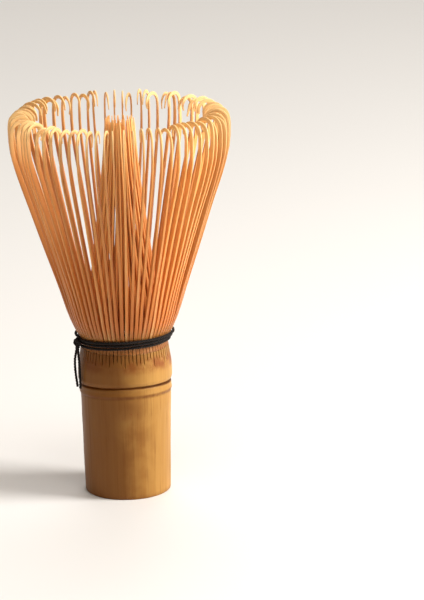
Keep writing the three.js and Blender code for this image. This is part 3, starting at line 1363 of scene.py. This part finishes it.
@dataclass
class PliedThread:
    """A length of twisted thread: plies laid round each other, then bent along a line.

    Sizes are in millimetres. The pitch is the length of one twist.
    """

    radius: float = 0.40
    plies: int = 3
    ply_part: float = 0.54
    pitch: float = 2.1
    ply_sides: int = 7
    step: float = 0.30

    def straight(self, name: str, length: float) -> bpy.types.Object:
        """Lays the plies along X.

        Args:
            name: the thread's name.
            length: its length in millimetres.

        Returns:
            The straight thread.
        """
        ply = self.radius * self.ply_part
        offset = self.radius - ply
        Bench.clear()
        rounds = []
        for k in range(self.plies):
            turn = FULL_TURN * k / self.plies
            bpy.ops.mesh.primitive_circle_add(
                vertices=self.ply_sides, radius=ply * MM,
                location=(0.0, offset * math.cos(turn) * MM, offset * math.sin(turn) * MM),
                rotation=(0.0, math.pi / 2.0, 0.0))
            rounds.append(bpy.context.object)
        for part in rounds:
            Bench.settle(part)
        piece = Bench.join(rounds, name)
        screw = piece.modifiers.new("Lay", "SCREW")
        screw.axis = "X"
        screw.angle = FULL_TURN * length / self.pitch
        screw.screw_offset = length * MM
        screw.steps = max(int(length / self.step), 6)
        screw.render_steps = screw.steps
        screw.use_merge_vertices = False
        Bench.apply(piece)
        with Bench.editing(piece, "EDGE") as mesh:
            Bench.pick(mesh, "edges", lambda edge: edge.is_boundary)
            bpy.ops.mesh.fill_holes(sides=0)
        Bench.close_up(piece, 1e-8)
        return piece

    def along(self, name: str, points: Sequence[Vector]) -> bpy.types.Object:
        """Lays the thread along a line.

        Args:
            name: the thread's name.
            points: the line, in metres.

        Returns:
            The thread.
        """
        length = sum((b - a).length for a, b in zip(points, points[1:])) / MM
        piece = self.straight(name, length)
        Path(f"{name}_line", points, smooth=False).bend(piece)
        Bench.smooth(piece, 60.0)
        return piece


@dataclass
class Binding:
    """The black thread: laid between the rings, wound round the roots, knotted and cut.

    Sizes are in millimetres. The waist and the top are those of the outer roots.
    """

    turns: int = 3
    turn_steps: int = 66
    thread: PliedThread = field(default_factory=PliedThread)
    seed: int = 7
    waist_z: float = 43.4
    waist_radius: float = 11.7
    top_z: float = 46.0
    top_radius: float = 13.25
    least_flare: float = 0.14
    clearance: float = 0.62
    slant: tuple[float, float] = (0.4, 0.75)
    waves: int = 12
    unrest: float = 0.05
    unrest_part: float = 0.35
    weave_steps: int = TINES * 6
    weave_out: float = 0.10
    weave_up: float = 0.16
    knot_strand: PliedThread = field(default_factory=lambda: PliedThread(radius=0.50))
    knot_size: Triple = (0.42, 0.40, 0.50)
    knot_inset: float = 1.15
    knot_drop: float = 1.25
    knot_steps: int = 60
    tail_strand: PliedThread = field(default_factory=lambda: PliedThread(radius=0.38, pitch=2.4))
    tail_spread: float = 1.15
    tail_inset: float = 0.55
    tail_lie: float = -0.25
    tail_over: float = 0.35
    tail_under: float = 0.5
    tail_steps: int = 30

    @property
    def azimuth(self) -> float:
        """Where the knot sits, from the frame."""
        low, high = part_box("thread_knot")
        return math.atan2(low[1] + high[1], low[0] + high[0])

    def wind(self) -> bpy.types.Object:
        """The turns round the outer roots, climbing their flare.

        Returns:
            The wound thread.
        """
        luck = random.Random(self.seed)
        low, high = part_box("binding_thread")
        start = low[2] / MM + self.thread.radius
        end = high[2] / MM - self.thread.radius
        steps = self.turn_steps * self.turns
        points = []
        unrest = [luck.gauss(0.0, self.unrest) for _ in range(self.waves)]
        for k in range(steps + 1):
            t = k / steps
            turn = self.azimuth + FULL_TURN * self.turns * t
            z = mix(start, end, t)
            z += self.slant[0] * math.cos(turn)
            z -= self.slant[1] * (1.0 + math.sin(turn))
            flare = max((z - self.waist_z) / (self.top_z - self.waist_z), self.least_flare)
            face = mix(self.waist_radius, self.top_radius, flare)
            wobble = sum(part * math.sin((n + 2) * turn + 5.0 * n) for n, part in enumerate(unrest))
            wobble *= self.unrest_part
            points.append(round_the_culm(face + self.clearance + 0.5 * wobble, turn, z + wobble))
        return self.thread.along("binding_thread_turns", points)

    def weave(self) -> bpy.types.Object:
        """The thread between the rings, waving a little up and out at every second tine.

        Returns:
            The woven thread.
        """
        low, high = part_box("weaving_thread")
        height = (low[2] + high[2]) / 2.0 / MM
        radius = high[0] / MM - self.thread.radius
        points = []
        for k in range(self.weave_steps + 1):
            turn = FULL_TURN * k / self.weave_steps
            wave = math.sin(TINES / 2.0 * turn)
            points.append(round_the_culm(radius + self.weave_out * wave, turn, height + self.weave_up * wave))
        return self.thread.along("weaving_thread_round", points)

    def beside(self, side: float, radius: float, height: float) -> Vector:
        """A place near the knot.

        Args:
            side: how far to the side, in millimetres.
            radius: how far from the axis, in millimetres.
            height: how high, in millimetres.

        Returns:
            The place, in metres.
        """
        out = Vector((math.cos(self.azimuth), math.sin(self.azimuth), 0.0))
        across = Vector((-math.sin(self.azimuth), math.cos(self.azimuth), 0.0))
        return (out * radius + across * side + Vector((0.0, 0.0, height))) * MM

    def knot(self) -> bpy.types.Object:
        """An overhand knot pulled tight.

        Returns:
            The knot.
        """
        centre = middle_of("thread_knot")
        radius = from_axis(centre) / MM - self.knot_inset
        height = centre.z / MM - self.knot_drop
        points = []
        for k in range(self.knot_steps + 1):
            t = FULL_TURN * k / self.knot_steps
            side = self.knot_size[0] * (math.sin(t) + 2.0 * math.sin(2.0 * t))
            out = -self.knot_size[1] * math.sin(3.0 * t)
            tall = self.knot_size[2] * (math.cos(t) - 2.0 * math.cos(2.0 * t))
            points.append(self.beside(side, radius + out, height + tall))
        return self.knot_strand.along("thread_knot_loops", points)

    def tail(self, node: str, side: float, bow: float) -> bpy.types.Object:
        """One cut end of the thread, hanging from the knot.

        Args:
            node: the frame's node for this end.
            side: which side of the knot it hangs on, -1 or 1.
            bow: how far it bows out, in millimetres.

        Returns:
            The thread's end.
        """
        low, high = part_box(node)
        top, end = high[2] / MM - self.knot_drop, low[2] / MM - self.tail_under
        radius = middle_of(node).xy.length / MM - self.tail_inset + self.tail_lie
        reach = self.tail_spread * side
        points = []
        for k in range(self.tail_steps + 1):
            t = k / self.tail_steps
            out = radius + bow * math.sin(math.pi * t ** 0.8) + 0.1 * math.sin(5.0 * t + side)
            across = reach * (0.45 + 0.55 * smooth_step(0.0, 0.35, t)) + 0.12 * math.sin(4.0 * t * side)
            points.append(self.beside(across, out, mix(top + self.tail_over, end, t)))
        return self.tail_strand.along(f"{node}_strand", points)

    def build(self, finish: bpy.types.Material) -> list[bpy.types.Object]:
        """Makes and dresses the thread.

        Args:
            finish: the thread's material.

        Returns:
            The thread's pieces.
        """
        pieces = {
            "binding_thread": self.wind(),
            "weaving_thread": self.weave(),
            "thread_knot": self.knot(),
            "thread_tail_left": self.tail("thread_tail_left", -1.0, 0.35),
            "thread_tail_right": self.tail("thread_tail_right", 1.0, 0.12),
        }
        for node, piece in pieces.items():
            Bench.dress(piece, finish)
            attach(piece, "handle")
            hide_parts(node)
        return list(pieces.values())


# ---- the studio -----------------------------------------------------------------------


@dataclass(frozen=True)
class SoftLight:
    """One soft light: its direction in degrees, distance and size in metres, power and colour."""

    name: str
    azimuth: float
    elevation: float
    distance: float
    size: float
    power: float
    colour: Colour

    def build(self, target: Vector) -> None:
        """Sets the light up.

        Args:
            target: what it points at.
        """
        turn, lift = math.radians(self.azimuth), math.radians(self.elevation)
        away = Vector((math.sin(turn) * math.cos(lift), -math.cos(turn) * math.cos(lift), math.sin(lift)))
        data = bpy.data.lights.new(self.name, "AREA")
        data.shape = "DISK"
        data.size = self.size
        data.energy = self.power
        data.color = self.colour
        lamp = bpy.data.objects.new(self.name, data)
        lamp.location = target + away * self.distance
        lamp.rotation_euler = (-away).to_track_quat("-Z", "Y").to_euler()
        bpy.context.collection.objects.link(lamp)


@dataclass
class Studio:
    """The floor, the lights and the camera, in metres and degrees. The lens is in millimetres."""

    distance: float = 0.8689
    height: float = 0.2895
    yaw: float = 1.611
    pitch: float = 15.189
    roll: float = -1.108
    lens: float = 195.75
    sensor: float = 36.0
    sight: tuple[float, float] = (0.01, 50.0)
    floor_size: float = 6.0
    target_z: float = 0.055
    room_colour: Colour = (1.0, 0.86, 0.70)
    room_light: float = 0.20
    lights: tuple[SoftLight, ...] = (
        SoftLight("Key", 78.0, 27.0, 0.80, 0.36, 8.6, (1.0, 0.97, 0.93)),
        SoftLight("Top", 20.0, 70.0, 1.3, 0.7, 5.5, (1.0, 0.96, 0.90)),
        SoftLight("Back", 175.0, 52.0, 1.6, 1.0, 8.0, (1.0, 0.98, 0.96)),
    )

    def camera(self) -> None:
        """Stands the camera where the whisk is seen from a little above."""
        yaw, pitch, roll = (math.radians(part) for part in (self.yaw, self.pitch, self.roll))
        level = math.cos(pitch)
        ahead = Vector((math.sin(yaw) * level, math.cos(yaw) * level, -math.sin(pitch)))
        right = Vector((math.cos(yaw), -math.sin(yaw), 0.0))
        above = right.cross(ahead)
        turned_right = right * math.cos(roll) + above * math.sin(roll)
        turned_up = above * math.cos(roll) - right * math.sin(roll)
        data = bpy.data.cameras.new("Camera")
        data.sensor_fit = "VERTICAL"
        data.sensor_height = self.sensor
        data.lens = self.lens
        data.clip_start, data.clip_end = self.sight
        camera = bpy.data.objects.new("Camera", data)
        frame_axes = Matrix((turned_right, turned_up, -ahead)).transposed().to_4x4()
        camera.matrix_world = Matrix.Translation((0.0, -self.distance, self.height)) @ frame_axes
        bpy.context.collection.objects.link(camera)
        bpy.context.scene.camera = camera

    def floor(self) -> None:
        """Lays the pale floor."""
        Bench.clear()
        bpy.ops.mesh.primitive_plane_add(size=self.floor_size, location=(0.0, 0.0, 0.0))
        floor = bpy.context.object
        floor.name = "floor"
        floor.data.materials.append(PaleFloorFinish().build())

    def surroundings(self) -> None:
        """Fills the room with even pale light."""
        world = bpy.data.worlds.new("Room")
        world.use_nodes = True
        background = world.node_tree.nodes["Background"]
        background.inputs["Color"].default_value = (*self.room_colour, 1.0)
        background.inputs["Strength"].default_value = self.room_light
        bpy.context.scene.world = world

    def build(self) -> None:
        """Sets up the whole studio."""
        self.camera()
        self.floor()
        self.surroundings()
        target = Vector((0.0, 0.0, self.target_z))
        for light in self.lights:
            light.build(target)
        bpy.context.scene.view_settings.view_transform = "Standard"


# ---- all of it ------------------------------------------------------------------------


def main() -> None:
    """Builds the whisk piece by piece and reports each one."""
    logging.basicConfig(level=logging.INFO, format="%(name)s: %(message)s")
    Studio().build()
    finishes = Finishes()
    culm = Culm().build(finishes)
    LOG.info("culm: %d faces", len(culm.data.polygons))
    outer_strip = Strip(
        "outer_strip", length=72.45, thick_root=1.0, thick_tip=0.30,
        widths=((0.0, 0.77), (0.07, 0.84), (0.42, 1.20), (0.70, 1.32), (0.84, 1.12), (1.0, 0.84)))
    inner_strip = Strip(
        "inner_strip", length=62.3, thick_root=0.62, thick_tip=0.30, curl_steps=6, edge=0.07,
        widths=((0.0, 0.60), (0.25, 0.64), (0.5, 0.72), (0.8, 0.58), (1.0, 0.40)))
    core_strip = Strip(
        "core_strip", length=61.3, thick_root=0.62, thick_tip=0.26, curl_steps=6, edge=0.07,
        widths=((0.0, 0.60), (0.25, 0.62), (0.5, 0.68), (0.8, 0.46), (1.0, 0.30)))
    around = (inner_strip, InnerCourse(gather=4.9, end=(3.5, 105.2)))
    between = (core_strip, InnerCourse(gather=3.4, end=(2.4, 104.4)))
    core = (core_strip, InnerCourse(gather=2.2, end=(1.1, 103.8)))
    outer = TineRing(Ring.OUTER, ((outer_strip, OuterCourse()),) * TINES_PER_SEGMENT, seed=21)
    inner = TineRing(Ring.INNER, (core, around, between, around), seed=34, stagger=0.25)
    pieces = outer.build(finishes.outer) + inner.build(finishes.inner) + Binding().build(finishes.thread)
    for piece in pieces:
        LOG.info("%s: %d faces", piece.name, len(piece.data.polygons))


if __name__ == "__main__":
    main()
